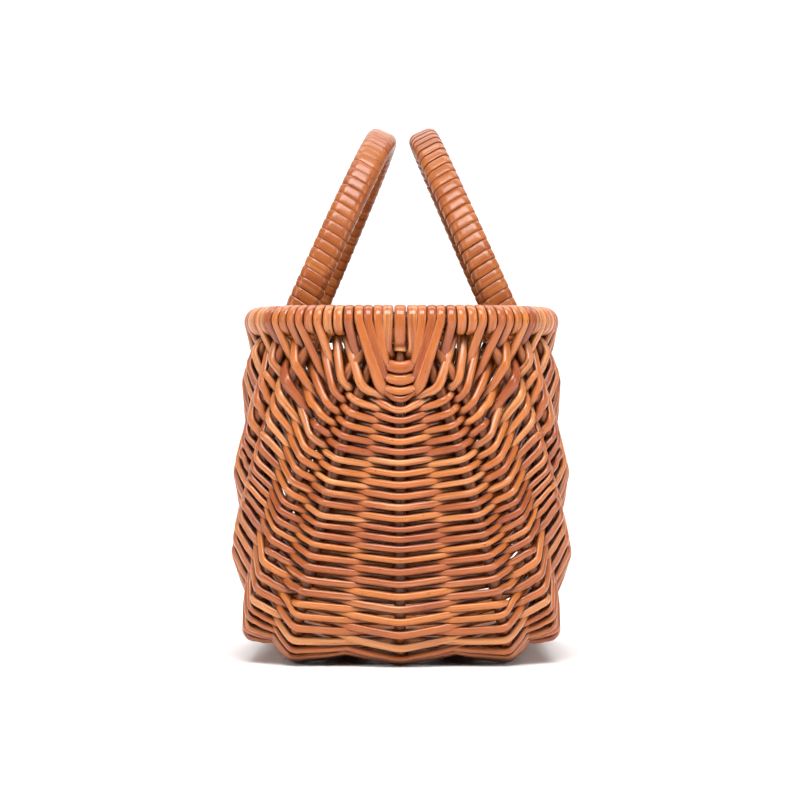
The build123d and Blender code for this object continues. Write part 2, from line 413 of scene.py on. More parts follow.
# %% [markdown]
# ## Sweeping a strand
# A willow weaver is an oval rod.  It could be a curve with a bevel, but a curve can't change its
# oval along the way or keep it facing the wall.  So a small function lays rings of points along
# a path.  Every point also remembers its place in the straight strand before it was bent, which
# the wood grain follows, and a pair of random numbers for the strand's own colour.

# %% Strand maker
grain_offset = 40.0


class Strands:
    """Collects swept strands into one mesh."""

    def __init__(self, sides=10, squareness=2.5):
        self.sides, self.squareness = sides, squareness
        self.points, self.faces, self.laid, self.tones = [], [], [], []

    def section(self, squareness):
        """Shares across and up for each side of a ring; a squareness of 2 is an oval."""
        angles = np.linspace(0, 2 * pi, self.sides, endpoint=False) + 0.5 * pi / self.sides
        power = 2 / squareness[:, None]
        waves = np.cos(angles), np.sin(angles)
        return [np.sign(wave) * np.abs(wave) ** power for wave in waves]

    def sweep(self, path, facing, half_widths, half_depths, tone=None, tilt=0.0, squareness=None):
        """One strand: its centre line, the way its flat side faces, and its half sizes."""
        path, facing = np.asarray(path, float), np.asarray(facing, float)
        count = len(path)
        squareness = self.squareness if squareness is None else squareness
        sizes = (half_widths, half_depths, squareness)
        widths, depths, squareness = (np.broadcast_to(size, count) for size in sizes)
        along = np.gradient(path, axis=0)
        along /= np.linalg.norm(along, axis=1)[:, None]
        out = facing - (facing * along).sum(1)[:, None] * along
        out /= np.linalg.norm(out, axis=1)[:, None]
        side = np.cross(along, out)
        across, up = self.section(squareness)
        w = widths[:, None] * across
        d = depths[:, None] * up + tilt * w
        rings = path[:, None, :] + w[..., None] * side[:, None, :] + d[..., None] * out[:, None, :]
        lengths = walked(path)[:, None] + chance.uniform(0, grain_offset)
        if tone is None:
            tone = chance.uniform(0, 1, 3)
        tone = np.broadcast_to(np.asarray(tone, float).reshape(-1, 3), (count, 3))
        base = sum(len(block) for block in self.points)
        self.points.append(rings.reshape(-1, 3))
        laid = np.stack([w, d, np.broadcast_to(lengths, w.shape)], axis=-1)
        self.laid.append(laid.reshape(-1, 3))
        self.tones.append(np.repeat(tone, self.sides, axis=0))
        self.skin(base, count)

    def skin(self, base, count):
        """Faces between the rings of one strand, and one at each of its ends."""
        ring = np.arange(self.sides)
        nxt = (ring + 1) % self.sides
        for place in range(count - 1):
            a, b = base + place * self.sides, base + (place + 1) * self.sides
            self.faces.extend(np.stack([a + ring, a + nxt, b + nxt, b + ring], axis=1).tolist())
        self.faces.append((base + ring[::-1]).tolist())
        self.faces.append((base + (count - 1) * self.sides + ring).tolist())

    def make(self, name, material, slot, nodes):
        """Turns all strands swept so far into one piece that stands for the named CAD nodes."""
        mesh = bpy.data.meshes.new(name)
        mesh.from_pydata(np.concatenate(self.points).tolist(), [], self.faces)
        for label, blocks in (("laid", self.laid), ("tone", self.tones)):
            values = mesh.attributes.new(label, "FLOAT_VECTOR", "POINT")
            values.data.foreach_set("vector", np.concatenate(blocks).astype("f").ravel())
        mesh.shade_smooth()
        mesh.materials.append(material)
        piece = bpy.data.objects.new(name, mesh)
        bpy.context.scene.collection.objects.link(piece)
        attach(piece, "root")
        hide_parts(*nodes)
        print(f"{name}: {sum(len(face) - 2 for face in self.faces)} triangles")


print("each ring of a strand adds", 2 * Strands().sides, "triangles")

# %% [markdown]
# ## Shader helper
# Shader maths reads best as ordinary expressions.  The class wraps one socket of a node tree;
# adding or multiplying two of them adds the Math node that does it.

# %% Expressions on sockets
class Socket:
    """A node tree's output that can be used in Python expressions."""

    def __init__(self, tree, output):
        self.tree, self.output = tree, output

    def node(self, kind, settings=None, **sockets):
        """Adds a node by type; its settings first, then the values or links of its sockets."""
        made = self.tree.nodes.new(kind)
        for name, value in (settings or {}).items():
            setattr(made, name, value)
        for name, value in sockets.items():
            by_number = name[0] == "i" and name[1:].isdigit()
            key = int(name[1:]) if by_number else name.replace("_", " ")
            self.feed(made.inputs[key], value)
        return made

    def feed(self, target, value):
        """Links a socket to an input, or writes a plain value into it."""
        if isinstance(value, Socket):
            self.tree.links.new(value.output, target)
        else:
            target.default_value = value

    def out(self, made, name=0):
        return Socket(self.tree, made.outputs[name])

    def maths(self, operation, *values):
        made = self.node("ShaderNodeMath", {"operation": operation})
        for target, value in zip(made.inputs, values):
            self.feed(target, value)
        return self.out(made)

    def __add__(self, other):
        return self.maths("ADD", self, other)

    def __sub__(self, other):
        return self.maths("SUBTRACT", self, other)

    def __rsub__(self, other):
        return self.maths("SUBTRACT", other, self)

    def __mul__(self, other):
        return self.maths("MULTIPLY", self, other)

    __radd__, __rmul__ = __add__, __mul__

    def between(self, low, high):
        """0 at `low`, 1 at `high`, and smooth from one to the other."""
        smooth = {"interpolation_type": "SMOOTHSTEP"}
        made = self.node("ShaderNodeMapRange", smooth, Value=self, From_Min=low, From_Max=high)
        return self.out(made, "Result")

    def stretched(self, x, y, z):
        """A vector with its three parts multiplied."""
        made = self.node("ShaderNodeVectorMath", {"operation": "MULTIPLY"}, i0=self, i1=(x, y, z))
        return self.out(made)

    def noise(self, detail=2.0, roughness=0.5):
        ways = {"Vector": self, "Scale": 1.0, "Detail": detail, "Roughness": roughness}
        return self.out(self.node("ShaderNodeTexNoise", **ways), "Fac")

    def parts(self):
        made = self.node("ShaderNodeSeparateXYZ", i0=self)
        return [self.out(made, number) for number in range(3)]

    def mixed(self, low, high, blend="MIX"):
        """A colour mix with this socket as the share."""
        kind = {"data_type": "RGBA", "blend_type": blend}
        colours = [end if isinstance(end, Socket) else (*end, 1.0) for end in (low, high)]
        made = self.node("ShaderNodeMix", kind, i0=self, i6=colours[0], i7=colours[1])
        return self.out(made, 2)


print("shader helper:", [name for name in vars(Socket) if name[0] != "_"])

# %% [markdown]
# ## Varnished willow
# Peeled willow is stained and varnished.  Each weaver takes the stain differently, so the colour
# starts from the strand's own random numbers.  Streaks run along the wood and small dark specks
# are bud scars.  An image of wood would show its seams on so many bent rods; noise that is
# stretched along each strand has none.

# %% Grain of willow
# How often each pattern changes per metre: across the strand, through it and along it.
strand_grain = {
    "fine": (2600, 2600, 90),
    "streak": (700, 700, 28),
    "blotch": (160, 160, 55),
    "speck": (750, 750, 420),
}
rod_grain = {
    "fine": (1500, 1500, 200),
    "streak": (500, 500, 60),
    "blotch": (100, 100, 60),
    "speck": (600, 600, 400),
}
rod_tones = (40, 30, 50)


def colour(red, green, blue):
    """A colour given as on screen, turned into light."""
    def light(value):
        value /= 255
        return value / 12.92 if value <= 0.04045 else ((value + 0.055) / 1.055) ** 2.4
    return light(red), light(green), light(blue)


print("patterns:", list(strand_grain))

# %% [markdown]
# ## Colour of the wood
# The colour is laid on in steps, as a maker would stain and wear the wood.  Then shade is painted
# into it where strands lie on each other, found by an ambient occlusion node.

# %% Colour of the wood
# Painted shade: how far from a strand the ambient occlusion node looks when it darkens the colour.
painted_shade_reach = 7.0 * mm


def wood_colour(patterns, tones, deep, main, warm, pale):
    """Stain, streaks, worn highlights, bud scars and painted crevice shade, laid over each other
    in that order.
    """
    shade, hue, wear = tones
    fine, streak, blotch, speck = patterns
    body = (shade * 0.6 + blotch * 0.9 - 0.15).between(0.05, 0.95).mixed(deep, main)
    body = (hue * 0.65 + streak * 0.8 - 0.33).between(0.25, 0.95).mixed(body, warm)
    body = ((wear * 0.5 + streak * 0.7).between(0.62, 1.0) * 0.75).mixed(body, pale)
    body = ((1 - fine).between(0.35, 0.75) * 0.28).mixed(body, deep, "MULTIPLY")
    spots = speck.between(0.735, 0.79) * 0.75
    dark = tuple(part * 0.22 for part in deep)
    body = spots.mixed(body, dark)
    # Painted shade: the colour turns dark where strands lie close on each other, as shadow would.
    open_sky = body.node("ShaderNodeAmbientOcclusion", {"samples": 6}, Distance=painted_shade_reach)
    painted_crevice_shade = body.out(open_sky, "AO").between(0.96, 0.28) * 0.95
    return painted_crevice_shade.mixed(body, dark), spots


print("crevices are dark within", painted_shade_reach / mm, "mm")

# %% [markdown]
# ## Varnish
# The varnish is a clear coat that makes one narrow highlight along each strand.  The streaks are
# also a little rougher and stand out a little, and the bud scars are dents.

# %% Varnished willow
bump_depth = 0.3 * mm


def varnished_willow(name, deep, main, warm, pale, coat=0.5, swept=True):
    material = bpy.data.materials.new(name)
    material.use_nodes = True
    tree = material.node_tree
    tree.nodes.clear()
    start = Socket(tree, None)
    if swept:
        laid = start.out(start.node("ShaderNodeAttribute", {"attribute_name": "laid"}), "Vector")
        tone = start.out(start.node("ShaderNodeAttribute", {"attribute_name": "tone"}), "Vector")
        grain, tones = strand_grain, tone.parts()
    else:
        laid = start.out(start.node("ShaderNodeTexCoord"), "Object")
        grain, tones = rod_grain, [laid.stretched(rate, rate, rate).noise() for rate in rod_tones]
    fine = laid.stretched(*grain["fine"]).noise(detail=3.0, roughness=0.6)
    streak, blotch = (laid.stretched(*grain[kind]).noise() for kind in ("streak", "blotch"))
    speck = laid.stretched(*grain["speck"]).noise(detail=1.0)
    # The colour from wood_colour holds painted shade in the crevices as well as the wood's own
    # colour.
    body, spots = wood_colour((fine, streak, blotch, speck), tones, deep, main, warm, pale)
    relief = fine * 0.4 + streak - spots * 0.8
    bump = start.node("ShaderNodeBump", Height=relief, Strength=0.35, Distance=bump_depth)
    shader = start.node(
        "ShaderNodeBsdfPrincipled",
        Base_Color=body,
        Roughness=streak * 0.16 + blotch * 0.1 + 0.19,
        Normal=start.out(bump),
        Coat_Weight=coat,
        Coat_Roughness=0.13,
        IOR=1.5,
        Specular_IOR_Level=0.32,
    )
    start.node("ShaderNodeOutputMaterial", Surface=start.out(shader))
    return material


print("grain relief of", bump_depth / mm, "mm")

# %% [markdown]
# ## Four woods
# The weavers are the brightest and glossiest.  The ribs are duller and redder, and the skeins of
# the handles are darker from being held.  The plain rods have no strand numbers, so their grain
# comes from where they are.

# %% Four woods
weaver_wood = varnished_willow(
    "weaver_willow",
    deep=colour(152, 70, 30),
    main=colour(191, 107, 49),
    warm=colour(206, 124, 55),
    pale=colour(228, 162, 102),
)
rib_wood = varnished_willow(
    "rib_willow",
    deep=colour(140, 70, 34),
    main=colour(172, 96, 52),
    warm=colour(184, 106, 58),
    pale=colour(196, 124, 78),
    coat=0.1,
)
skein_wood = varnished_willow(
    "skein_willow",
    deep=colour(140, 66, 28),
    main=colour(166, 92, 42),
    warm=colour(178, 104, 48),
    pale=colour(196, 128, 74),
    coat=0.28,
)
rod_wood = varnished_willow(
    "rod_willow",
    deep=colour(140, 72, 38),
    main=colour(178, 104, 60),
    warm=colour(190, 112, 64),
    pale=colour(202, 130, 84),
    swept=False,
)
woods = (weaver_wood, rib_wood, skein_wood, rod_wood)
print("woods:", [wood.name for wood in woods])

# %% [markdown]
# ## Ribs
# The ribs are whole rods, a little thicker than the weavers, shaved thin where they are pushed
# in under the rim.  The same sweeping function makes them, along both halves of the rib line.

# %% Ribs
rib_rings, rib_sides = 110, 14
shaved_length, shaved_share = 11 * mm, 0.45


def whole_rib(number, side):
    """Path and radius of a rib through the near and the far half of the basket."""
    near = rib_lines[number] * np.array([side, 1, 1])
    far = near[-2::-1] * np.array([1, -1, 1])
    line = np.concatenate([near, far])
    walk = walked(line)
    even = np.linspace(0, walk[-1], rib_rings)
    from_tip = np.minimum(even, walk[-1] - even)
    radius = rib_radius * np.interp(from_tip, [0, shaved_length], [shaved_share, 1.0])
    return at(even, line, walk), radius


for number in range(6):
    for side, side_name in ((-1, "left"), (1, "right")):
        if number == 0 and side == -1:
            continue
        path, radius = whole_rib(number, side)
        out = path - np.array([0, 0, 2 * belly_height])
        rib = Strands(sides=rib_sides, squareness=2.0)
        rib.sweep(path, out, radius, radius)
        node = "keel_rib" if number == 0 else f"rib_{side_name}_{number}"
        rib.make(node + "_rod", rib_wood, "ribs", [node])

# %% [markdown]
# ## Bending a row over the ribs
# Between two ribs a weaver is straight, because it is stiff; it only bends where it crosses one.
# A curve through the crossings would swing like a wave.  So a row is first a chain of corners,
# each lifted off its rib by the two radii, outside one rib and inside the next.

# %% Corners of a row
thin_half_width, wide_half_width, ear_half_width = 1.95 * mm, 3.0 * mm, 3.4 * mm
strand_half_depth = 1.8 * mm
lift = rib_radius + strand_half_depth
basket_middle = np.array([0.0, 0.0, 90 * mm])


def wall_normal(place, rib_way, row_way):
    """The way out of the basket at a crossing, square to the rib and the row."""
    out = np.cross(row_way, rib_way)
    out /= np.linalg.norm(out)
    return -out if np.dot(out, place - basket_middle) < 0 else out


print("a row lies", round(lift / mm, 1), "mm off the middle line of each rib")

# %% [markdown]
# ## Rounding the corners
# Every corner is replaced by a short smooth arc.  A long straight stretch bows out very slightly,
# as a bent rod does, and takes on the small slides that close the rows up between two ribs.

# %% Arcs at the corners
bend_length, longest_share = 5.2 * mm, 0.42
arc_steps = (0.0, 0.22, 0.4, 0.5, 0.6, 0.78, 1.0)
shortest_bowed, deepest_bow, bow_share = 6 * mm, 0.9 * mm, 0.03


def rounded(corners, normals, widths, depths, slides):
    """Path, facing, half widths and half depths of a chain with an arc at each inner corner."""
    path, facing, w, d = [corners[0]], [normals[0]], [widths[0]], [depths[0]]
    ways = np.diff(corners, axis=0)
    spans = np.linalg.norm(ways, axis=1)
    reaches = np.minimum(bend_length, longest_share * spans)
    for i in range(len(corners) - 1):
        here, on = corners[i], ways[i]
        if i:
            a = here - ways[i - 1] / spans[i - 1] * reaches[i - 1]
            b = here + on / spans[i] * reaches[i]
            path += [(1 - t) ** 2 * a + 2 * t * (1 - t) * here + t ** 2 * b for t in arc_steps]
            facing += [normals[i]] * len(arc_steps)
            w += [widths[i]] * len(arc_steps)
            d += [depths[i]] * len(arc_steps)
        if spans[i] - 2 * reaches[i] > shortest_bowed:
            both = normals[i] + normals[i + 1]
            bow = both / np.linalg.norm(both) * min(deepest_bow, bow_share * spans[i])
            stations = slides[i] or [(0.5, 0.0)]
            path += [here + share * on + bow + slide for share, slide in stations]
            facing += [both] * len(stations)
            w += [0.5 * (widths[i] + widths[i + 1])] * len(stations)
            d += [0.5 * (depths[i] + depths[i + 1])] * len(stations)
    ends = ([corners[-1]], [normals[-1]], [widths[-1]], [depths[-1]])
    return [np.array(part + end) for part, end in zip((path, facing, w, d), ends)]


print("arcs of up to", round(2 * bend_length / mm, 1), "mm, in", len(arc_steps), "points")

# %% [markdown]
# ## Turning a row round the rim
# At the rim a row goes once round the hoop and is tucked in.  Some rows come up outside, go over
# the top and down inside; the others pass under the hoop and come up inside, so that outside only
# a short band shows.  The turn starts where a straight strand would just touch the circle.

# %% Turn round the rim
wrap_half_depth = rim_wrap_thickness / 2
wrap_radius = hoop_radius + 0.1 * mm + wrap_half_depth
wrap_half_width = 2.72 * mm
rim_clearance = 1.02
over_end, under_end, under_stray = 272, -96, 8
turn_step = radians(14)
rim_slant = 0.25
tucked_share = 0.7


def rim_turn(arc, side, end, last_corner, outer, half_width):
    """Path, facing and half widths round the hoop, from the last corner of a row on."""
    flip = np.array([side, -end, 1.0])
    place, out = (part * flip for part in rim_spot(arc))
    up = np.array([0.0, 0.0, 1.0])
    offset = last_corner - place
    level, rise = np.dot(offset, out), offset[2]
    distance = max(np.hypot(level, rise), wrap_radius * rim_clearance)
    bearing, spread = atan2(rise, level), np.arccos(wrap_radius / distance)
    slant = chance.uniform(-rim_slant, rim_slant) * mm
    if outer:
        angles = np.arange(bearing + spread, radians(over_end), turn_step)
    else:
        first = bearing - spread
        first = first + 2 * pi if first < 0 else first
        last = radians(under_end + chance.uniform(-under_stray, under_stray))
        angles = np.arange(first, last, -turn_step)
    swing = (angles - angles[0]) / (angles[-1] - angles[0]) - 0.5
    radial = np.cos(angles)[:, None] * out + np.sin(angles)[:, None] * up
    path = place + wrap_radius * radial + (2 * slant * swing)[:, None] * np.cross(up, out)
    half_widths = np.full(len(path), half_width)
    half_widths[-1] *= tucked_share
    return path, radial if outer else -radial, half_widths


print("rows turn", round(wrap_radius / mm, 2), "mm from the middle of the hoop")

# %% [markdown]
# ## Where a row crosses the ribs
# The plan says how far down each rib a row lies.  A hand never lays it there exactly, so each
# crossing slips by a small random length.  The first rows of the ear are a special case: from
# the rim they bend at a shoulder, outside, and dive under the middle rib.

# %% Crossings of half a row
crossing_stray = 0.2 * mm
kept_from_end = 1.2 * mm


def crossings_of(row, side, end):
    """Rib number, place and rib direction of half a strand, from the middle rib outwards."""
    places = []
    flip = np.array([side, -end, 1.0])
    for number in sorted(row.crossings):
        length = row.crossings[number] + (chance.normal(0, crossing_stray) if number else 0.0)
        length = min(length, rib_walks[number][-1] - kept_from_end)
        place, way = on_rib(number, length)
        places.append((number, place * flip, way * flip))
    return places


def ear_shoulder(row, side, end):
    """Where one of the first rows bends, outside, just before it goes under the middle rib."""
    height = on_rib(0, max(row.crossings[0] - 4.5 * mm, 6 * mm))[0][2]
    across = 8.0 * mm + 0.16 * (row.level - first_wrap)
    depth = end_depth(across, height) + 4.6 * mm
    return np.array([across, -depth, height]) * np.array([side, -end, 1.0])


print("a crossing slips by about", crossing_stray / mm, "mm")

# %% [markdown]
# ## Half a strand
# Half a strand runs from the middle rib to one side.  At every rib it changes from outside to
# inside or back, and it is as wide as the room that the plan leaves it.  Towards the side the
# outer crossings are eased inwards, because a taut strand lies flatter there.

# %% Corners of half a strand
cover = 0.6
bend_lift, lift_stray = 1.05 * mm, 0.15 * mm
side_ease = (0.0, 0.0, 0.3 * mm, 0.7 * mm, 0.9 * mm, 1.1 * mm)
ear_shoulder_level = 26 * mm
last_rib = 5
mirror = np.array([-1, 1, 1])


def way_of_row(places, index, rim_place, turns_back):
    """Direction of a row at one of its crossings, from the places beside it."""
    place = places[index][1]
    before = places[index - 1][1] if index else places[min(1, len(places) - 1)][1] * mirror
    if index + 1 < len(places):
        after = places[index + 1][1]
    else:
        after = place + (place - before) if turns_back else rim_place
    return after - (rim_place * mirror if len(places) == 1 else before)


def half_strand(row, parity, side, end, thick):
    """Crossings of one half, then its corners, facings, half widths and slides between ribs."""
    places = crossings_of(row, side, end)
    in_ear = row.turn is None and row.level < ear_shoulder_level
    if in_ear:
        places = places[:1]
    rim_place = rim_spot(row.level)[0] * np.array([side, -end, 1.0])
    widest = between(ear_half_width, wide_half_width, min(1.0, row.level / first_short))
    corners, normals, spans, slides = [], [], [], []
    for index, (number, place, way) in enumerate(places):
        row_way = way_of_row(places, index, rim_place, row.turn is not None)
        out = wall_normal(place, way, row_way)
        sign = 1 if (number + parity) % 2 == 0 else -1
        up = lift + chance.normal(0, lift_stray) + bend_lift
        up -= side_ease[number] if sign > 0 else 0.0
        corners.append(place + sign * up * out)
        normals.append(out)
        spans.append(thick * np.clip(cover * row.pitch[number], thin_half_width, widest))
        goes_on = index + 1 < len(places) or number == last_rib
        given = row.slides.get(number, []) if goes_on else []
        slides.append([(share, slide * way) for share, slide in given])
    if in_ear:
        spans[0] = thin_half_width
        corners.append(ear_shoulder(row, side, end))
        normals.append(normals[0])
        spans.append(ear_half_width)
        slides.append([])
    return places, corners, normals, spans, slides


print("strands are", 2 * thin_half_width / mm, "to", 2 * wide_half_width / mm, "mm wide")

# %% [markdown]
# ## A full row
# A full row starts with a turn round the rim, passes all the ribs of one half and the other, and
# ends with a turn round the rim again.  The turns are pressed flatter than the rest, so their
# section is squarer.  Each strand has its own thickness.

# %% Full row
# A half is (crossings, corners, facings, half widths, slides), as half_strand gives it.
thickness_spread = 0.06
round_section, flat_section = 2.3, 3.2
rim_stray = 0.12 * mm
always_over = 24 * mm
wider_band = 0.65 * mm


def whole_chain(left, right):
    """Both halves as one chain, from the left end over the middle rib to the right end."""
    return left[:0:-1] + right


def turned_over(slides):
    """The slides of a chain that is walked the other way."""
    return [[(1 - share, slide) for share, slide in span[::-1]] for span in slides[::-1]]


def rim_ends(row, parity, end, halves):
    """Path, facing, half widths and half depths of the two turns that end a full row."""
    band = wrap_half_width + wider_band * (row.level < 1.2 * first_wrap)
    turns = []
    for side, (places, corners, normals, _, _) in zip((-1, 1), halves):
        outer = (places[-1][0] + 1 + parity) % 2 == 0 or row.level < always_over
        arc = row.level + chance.normal(0, rim_stray)
        path, face, widths = rim_turn(arc, side, end, corners[-1], outer, band)
        face = face if np.dot(face[0], normals[-1]) > 0 else -face
        turns.append((path, face, widths, np.full(len(path), wrap_half_depth)))
    return turns


def weave_full(bag, row, parity, end):
    """A strand from the rim over and under all the ribs to the rim on the other side."""
    thick = chance.normal(1.0, thickness_spread)
    halves = [half_strand(row, parity, side, end, thick) for side in (-1, 1)]
    left, right = rim_ends(row, parity, end, halves)
    corners, normals, spans = (whole_chain(halves[0][k], halves[1][k]) for k in (1, 2, 3))
    depths = [strand_half_depth * (1 + 0.5 * (thick - 1))] * len(corners)
    chains = zip(left, (corners, normals, spans, depths), right)
    chains = [[before[0]] + middle + [after[0]] for before, middle, after in chains]
    middle = rounded(*chains, turned_over(halves[0][4]) + halves[1][4])
    swept = [np.concatenate([a[:0:-1], b, c[1:]]) for a, b, c in zip(left, middle, right)]
    square = np.full(len(swept[0]), round_section)
    square[:len(left[0]) - 1] = square[1 - len(right[0]):] = flat_section
    bag.sweep(*swept, squareness=square)


print("a full row shows on the rim as a band", round(2 * wrap_half_width / mm, 1), "mm wide")

# %% [markdown]
# ## Short strands in pairs
# The ribs in the middle are longer than the rim, so short strands fill up between the full rows.
# They are one long strand that turns round a rib at each side and comes back, over where it went
# under.  So two short rows are made as one closed chain, and its wall side is rolled a very
# little at the turns, where it would otherwise be undecided.

# %% Pair of short strands
turn_roll = 0.01


def turn_spot(there, back, side):
    """Where a pair turns round its last rib, and the way outwards there."""
    _, place, way = there[0][-1]
    outward = np.cross(way, there[2][-1])
    outward *= np.sign(outward[0] * side)
    return (place + back[0][-1][1]) / 2 + outward * lift, outward


def weave_pair(bag, first, second, parity, end):
    """Two short strands joined by a turn round the last rib at each side."""
    thick = chance.normal(1.0, thickness_spread)
    pair = []
    for number, row in enumerate((first, second)):
        pair.append([half_strand(row, parity + number, side, end, thick) for side in (-1, 1)])
    left_spot, left_way = turn_spot(pair[0][0], pair[1][0], -1)
    right_spot, right_way = turn_spot(pair[0][1], pair[1][1], 1)
    there = [whole_chain(pair[0][0][k], pair[0][1][k]) for k in (1, 2, 3)]
    back = [whole_chain(pair[1][0][k], pair[1][1][k])[::-1] for k in (1, 2, 3)]
    left_face = there[1][0] + turn_roll * left_way
    right_face = there[1][-1] + turn_roll * right_way
    chain = [left_spot] + there[0] + [right_spot] + back[0] + [left_spot]
    faces = [left_face] + there[1] + [right_face] + back[1] + [left_face]
    widths = [there[2][0]] + there[2] + [there[2][-1]] + back[2] + [back[2][-1]]
    ways = [turned_over(left[4]) + right[4] for left, right in pair]
    slides = ways[0] + turned_over(ways[1])
    bag.sweep(*rounded(chain, faces, widths, [strand_half_depth] * len(chain), slides))


print("a pair turns", round(lift / mm, 1), "mm outside its last rib")

# %% [markdown]
# ## Strands of the ear
# Under each end of the rim the ribs come together and leave a small open fan.  Short strands
# cross the middle rib there with both ends tucked in behind the rows beside them.  The spare
# ends of other strands run up inside the wall and close the fan from behind.

# %% Short strands and spare ends of the ear
ear_reach, ear_rise = 15 * mm, 6.0 * mm
ear_crown_out, ear_tuck_in = 6.1, 9.0
ear_narrow, ear_wider_by, ear_wide_until = 1.75 * mm, 1.7 * mm, 9 * mm
spare_reaches = np.arange(22 * mm, 46 * mm, 3.9 * mm)
spare_turns = np.linspace(radians(24), radians(84), 9)
spare_drop, spare_inside = 1.12, 4.6 * mm


def weave_in_ear(bag, row, end):
    """A short strand over the middle rib, its two ends tucked in behind the rows beside it."""
    from_first = (row.level - first_wrap) / ear_wide_until
    half_width = ear_narrow + ear_wider_by * np.exp(-from_first ** 2)
    path, widths = [], []
    for share in np.linspace(-1, 1, 17):
        across = ear_reach * share
        height = ear_height - row.crossings[0] + ear_rise * abs(share) ** 1.6
        out = (ear_crown_out - ear_tuck_in * abs(share) ** 1.7) * mm
        path.append((across, end * (end_depth(across, height) + out), height))
        widths.append(half_width * (1 - 0.35 * abs(share) ** 3))
    facing = np.tile(np.array([0.0, float(end), 0.15]), (len(path), 1))
    bag.sweep(path, facing, widths, 1.5 * mm)


def tuck_ends(bag, end):
    """Spare ends that run up inside the wall to the rim, behind the open fan beside the ear."""
    for side in (-1, 1):
        for reach in spare_reaches:
            path = []
            for turn in spare_turns:
                across, height = reach * sin(turn), ear_height - reach * cos(turn) * spare_drop
                depth = end_depth(across, height) - spare_inside
                path.append((side * across, end * depth, height))
            facing = np.tile(np.array([0.0, float(end), 0.0]), (len(path), 1))
            bag.sweep(path, facing, thin_half_width, 1.3 * mm)


print(2 * len(spare_reaches), "spare ends are tucked in at each end of the basket")

# %% [markdown]
# ## Weaving
# Now strand after strand is laid, row by row from the ear down.  Each one goes outside where the
# last one went inside, so the side changes with every row, and twice for a pair.  Each half is
# one object, and it takes the place of the plain solids that stand for it in the CAD model.

# %% Weave both halves
def weave_half(planned, end):
    """All the strands of one half of the basket."""
    bag = Strands(sides=10, squareness=round_section)
    parity, index = 1, 0
    while index < len(planned):
        row = planned[index]
        if row.turn is None:
            weave_full(bag, row, parity, end)
        elif row.turn == "ear":
            weave_in_ear(bag, row, end)
        else:
            weave_pair(bag, row, planned[index + 1], parity, end)
            index, parity = index + 1, parity + 1
        index, parity = index + 1, parity + 1
    tuck_ends(bag, end)
    return bag


near_nodes = ["weave_front", "weave_middle", "rim_wrap_front_left", "rim_wrap_front_right"]
far_nodes = ["weave_back", "rim_wrap_back_left", "rim_wrap_back_right"]
weave_half(plans["front"], -1).make("weavers_front", weaver_wood, "weave", near_nodes)
weave_half(plans["back"], 1).make("weavers_back", weaver_wood, "weave", far_nodes)

# %% [markdown]
# ## Ear bindings
# Where the ribs gather, a skein goes over the rim to hide the join, and its end is wound once
# round the middle rib just under it.  It is flatter than a weaver.

# %% Ear bindings
over_radius = wrap_radius + 0.3 * mm
over_angles = np.arange(radians(-8), radians(255), radians(12))
tail_drop = np.array([13.0, 10.0, 7.0, 3.5])[:, None] * mm
tail_sink = np.array([2.0, 1.4, 0.6, 0.1])[:, None] * mm
band_height = ear_height - 3.4 * mm
band_angles = np.arange(radians(-110), radians(300), radians(12))
band_fall = np.linspace(0.5, -1.2, len(band_angles))[:, None] * mm
band_radii = np.linspace(4.1, 5.2, len(band_angles))[:, None] * mm


def ear_binding(end):
    """The skein over the rim at one end, and its turn round the middle rib."""
    bag = Strands(sides=12, squareness=flat_section)
    out, up = np.array([0.0, float(end), 0.0]), np.array([0.0, 0.0, 1.0])
    radial = np.cos(over_angles)[:, None] * out + np.sin(over_angles)[:, None] * up
    round_rim = np.array([0.0, end * rim_half_length, rim_height]) + over_radius * radial
    tail = round_rim[0] - tail_drop * up - tail_sink * out
    path = np.concatenate([tail, round_rim])
    facing = np.concatenate([np.tile(out, (len(tail), 1)), radial])
    bag.sweep(path, facing, 3.25 * mm, 1.6 * mm, tone=(0.35, 0.3, 0.3))
    middle = np.array([0.0, end * plan_size(band_height)[1], band_height])
    across = np.sin(band_angles)[:, None] * np.array([1.0, 0, 0])
    radial = across + np.cos(band_angles)[:, None] * out
    path = middle + radial * band_radii + band_fall * up
    bag.sweep(path, radial, 2.2 * mm, 0.75 * mm, tone=(0.8, 0.4, 0.9))
    return bag


ear_binding(-1).make("ear_skein_front", weaver_wood, "binding", ["ear_binding_front"])
ear_binding(1).make("ear_skein_back", weaver_wood, "binding", ["ear_binding_back"])

# %% [markdown]
# ## Handles
# Each handle is two rods side by side, bent to an arch and wound with a flat skein.  The two
# handles stand just inside the rim, one along each long side, and lean together over the mouth
# until their crowns nearly touch.  The lean follows from the sizes, but where the legs stand
# depends on the lean, so the sum is done over and over until it settles.

# %% Lean of a handle
handle_half_span, handle_crown, handle_top = 75.0 * mm, 55.0 * mm, 308.0 * mm
handle_width, handle_depth, handle_gap = 17.5 * mm, 10.2 * mm, 7.5 * mm
leg_below_rim, tie_length = 24.0 * mm, 14.0 * mm
rim_play = 0.3 * mm

section_flat = (handle_width - handle_depth) / 2
beside = handle_half_span - (rim_half_length - rim_corner)
lean = 0.4
for _ in range(8):
    apex_x = handle_gap / 2 + section_flat * cos(lean) + handle_depth / 2
    apex_z = handle_top - section_flat * sin(lean) - handle_depth / 2
    axis_reach = rim_corner - (rim_radius + rim_play + handle_depth / 2) / cos(lean)
    leg_x = rim_flat + sqrt(axis_reach ** 2 - beside ** 2) - section_flat / cos(lean)
    lean = atan((leg_x - apex_x) / (apex_z - rim_height))
print("lean", round(lean * 180 / pi, 1), "degrees, legs at", round(leg_x / mm, 1), "mm")

# %% [markdown]
# ## Arch of a handle
# The arch is drawn flat, in its own leaning plane: a straight leg, a wide arc at the shoulder and
# a tighter arc at the crown, which meet without a corner.  Only one half is worked out, and the
# other is its mirror image.

